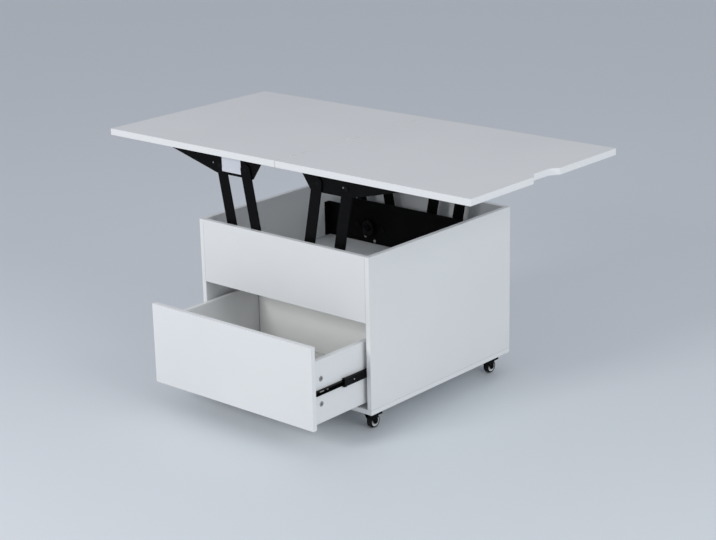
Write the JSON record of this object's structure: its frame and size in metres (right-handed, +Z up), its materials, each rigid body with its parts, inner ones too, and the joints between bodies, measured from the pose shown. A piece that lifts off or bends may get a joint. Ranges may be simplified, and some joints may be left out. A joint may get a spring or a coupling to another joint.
{
  "type": "convertible coffee dining table",
  "caption": "White box coffee table on swivel casters with a front drawer, whose folding top rises on mirrored steel arms and opens into a dining table.",
  "frame": {"origin": "on the floor under the middle of the cabinet", "axes": "+X along the open top towards the folding leaf, -Y towards the drawer, +Z up"},
  "size_m": [1.4, 0.9037, 0.7637],
  "materials": {
    "white_board": "white melamine faced board, satin",
    "black_steel": "black powder coat",
    "slide_steel": "black electrophoretic coat",
    "bright_steel": "zinc plated",
    "gear_steel": "greased steel",
    "wheel_rubber": "black tread on a grey hub",
    "pad_rubber": "matt"
  },
  "bodies": {
    "cabinet": {"bottom_panel": "white_board", "left_side_panel": "white_board", "right_side_panel": "white_board", "front_apron": "white_board", "back_panel": "white_board", "storage_floor": "white_board", "left_slide_outer": "slide_steel", "right_slide_outer": "slide_steel", "front_base_plate": "black_steel", "rear_base_plate": "black_steel", "base_screws": "bright_steel", "base_pivot_pins": "bright_steel", "base_pivot_sleeves": "bright_steel", "spring_cups": "black_steel", "caster_plates": "black_steel", "caster_screws": "bright_steel"},
    "drawer": {"drawer_front": "white_board", "drawer_left_side": "white_board", "drawer_right_side": "white_board", "drawer_back": "white_board", "drawer_bottom": "white_board", "drawer_cam_locks": "bright_steel", "left_slide_inner": "slide_steel", "right_slide_inner": "slide_steel"},
    "slide_middles": {"left_slide_middle": "slide_steel", "right_slide_middle": "slide_steel"},
    "left_outer_arms": {"front_left_outer_arm": "black_steel", "rear_left_outer_arm": "black_steel"},
    "left_inner_arms": {"front_left_inner_arm": "black_steel", "rear_left_inner_arm": "black_steel", "left_pinion_shaft": "gear_steel"},
    "right_outer_arms": {"front_right_outer_arm": "black_steel", "rear_right_outer_arm": "black_steel"},
    "right_inner_arms": {"front_right_inner_arm": "black_steel", "rear_right_inner_arm": "black_steel", "right_pinion_shaft": "gear_steel"},
    "left_idler": {"left_idler_gear": "gear_steel"},
    "right_idler": {"right_idler_gear": "gear_steel"},
    "left_top": {"left_leaf": "white_board", "front_left_bracket": "black_steel", "rear_left_bracket": "black_steel", "left_bracket_screws": "bright_steel", "left_top_pivot_pins": "bright_steel", "left_hinge_leaves": "bright_steel", "hinge_pins": "bright_steel"},
    "right_support": {"front_right_bracket": "black_steel", "rear_right_bracket": "black_steel", "support_rails": "black_steel", "support_pads": "pad_rubber", "right_top_pivot_pins": "bright_steel"},
    "right_top": {"right_leaf": "white_board", "right_hinge_leaves": "bright_steel"},
    "front_left_caster": {"front_left_caster_fork": "black_steel"},
    "front_left_wheel": {"front_left_caster_wheel": "wheel_rubber"},
    "rear_left_caster": {"rear_left_caster_fork": "black_steel"},
    "rear_left_wheel": {"rear_left_caster_wheel": "wheel_rubber"},
    "front_right_caster": {"front_right_caster_fork": "black_steel"},
    "front_right_wheel": {"front_right_caster_wheel": "wheel_rubber"},
    "rear_right_caster": {"rear_right_caster_fork": "black_steel"},
    "rear_right_wheel": {"rear_right_caster_wheel": "wheel_rubber"}
  },
  "joints": [
    {"name": "drawer_slide", "type": "slide", "parent": "cabinet", "child": "drawer", "axis": [0, -1, 0], "range_m": [-0.2257, 0.1243]},
    {"name": "slide_middle_run", "type": "slide", "parent": "cabinet", "child": "slide_middles", "axis": [0, -1, 0], "range_m": [-0.11285, 0.06215]},
    {"name": "top_lift", "type": "hinge", "parent": "cabinet", "child": "left_outer_arms", "pos_m": [-0.1996, -0.0267, 0.404], "axis": [0, 1, 0], "range_deg": [0, 84.03]},
    {"name": "left_inner_swing", "type": "hinge", "parent": "cabinet", "child": "left_inner_arms", "pos_m": [-0.0916, -0.0267, 0.404], "axis": [0, 1, 0], "range_deg": [0, 84.03]},
    {"name": "left_top_level", "type": "hinge", "parent": "left_outer_arms", "child": "left_top", "pos_m": [-0.25777, -0.0267, 0.7035], "axis": [0, 1, 0], "range_deg": [-84.03, 0]},
    {"name": "right_outer_swing", "type": "hinge", "parent": "cabinet", "child": "right_outer_arms", "pos_m": [0.1704, -0.0267, 0.404], "axis": [0, 1, 0], "range_deg": [-84.03, 0]},
    {"name": "right_inner_swing", "type": "hinge", "parent": "cabinet", "child": "right_inner_arms", "pos_m": [0.0624, -0.0267, 0.404], "axis": [0, 1, 0], "range_deg": [-84.03, 0]},
    {"name": "right_support_level", "type": "hinge", "parent": "right_outer_arms", "child": "right_support", "pos_m": [0.22857, -0.0267, 0.7035], "axis": [0, 1, 0], "range_deg": [0, 84.03]},
    {"name": "left_idler_turn", "type": "hinge", "parent": "cabinet", "child": "left_idler", "pos_m": [-0.0377, -0.0267, 0.404], "axis": [0, 1, 0], "range_deg": [-112.04, 0]},
    {"name": "right_idler_turn", "type": "hinge", "parent": "cabinet", "child": "right_idler", "pos_m": [0.0085, -0.0267, 0.404], "axis": [0, 1, 0], "range_deg": [0, 112.04]},
    {"name": "leaf_fold", "type": "hinge", "parent": "left_top", "child": "right_top", "pos_m": [0, 0, 0.7615], "axis": [0, -1, 0], "range_deg": [0, 180]},
    {"name": "front_left_swivel", "type": "hinge", "parent": "cabinet", "child": "front_left_caster", "pos_m": [-0.299, -0.3, 0.0506], "axis": [0, 0, 1], "continuous": true},
    {"name": "front_left_roll", "type": "hinge", "parent": "front_left_caster", "child": "front_left_wheel", "pos_m": [-0.299, -0.284, 0.02], "axis": [1, 0, 0], "continuous": true},
    {"name": "rear_left_swivel", "type": "hinge", "parent": "cabinet", "child": "rear_left_caster", "pos_m": [-0.299, 0.26, 0.0506], "axis": [0, 0, 1], "continuous": true},
    {"name": "rear_left_roll", "type": "hinge", "parent": "rear_left_caster", "child": "rear_left_wheel", "pos_m": [-0.299, 0.276, 0.02], "axis": [1, 0, 0], "continuous": true},
    {"name": "front_right_swivel", "type": "hinge", "parent": "cabinet", "child": "front_right_caster", "pos_m": [0.299, -0.3, 0.0506], "axis": [0, 0, 1], "continuous": true},
    {"name": "front_right_roll", "type": "hinge", "parent": "front_right_caster", "child": "front_right_wheel", "pos_m": [0.299, -0.284, 0.02], "axis": [1, 0, 0], "continuous": true},
    {"name": "rear_right_swivel", "type": "hinge", "parent": "cabinet", "child": "rear_right_caster", "pos_m": [0.299, 0.26, 0.0506], "axis": [0, 0, 1], "continuous": true},
    {"name": "rear_right_roll", "type": "hinge", "parent": "rear_right_caster", "child": "rear_right_wheel", "pos_m": [0.299, 0.276, 0.02], "axis": [1, 0, 0], "continuous": true}
  ],
  "couplings": [
    {"joint": "slide_middle_run", "follows": "drawer_slide", "ratio": 0.5},
    {"joint": "left_inner_swing", "follows": "top_lift", "ratio": 1},
    {"joint": "left_top_level", "follows": "top_lift", "ratio": -1},
    {"joint": "right_outer_swing", "follows": "top_lift", "ratio": -1},
    {"joint": "right_inner_swing", "follows": "top_lift", "ratio": -1},
    {"joint": "right_support_level", "follows": "top_lift", "ratio": 1},
    {"joint": "left_idler_turn", "follows": "top_lift", "ratio": -1.3333},
    {"joint": "right_idler_turn", "follows": "top_lift", "ratio": 1.3333}
  ]
}
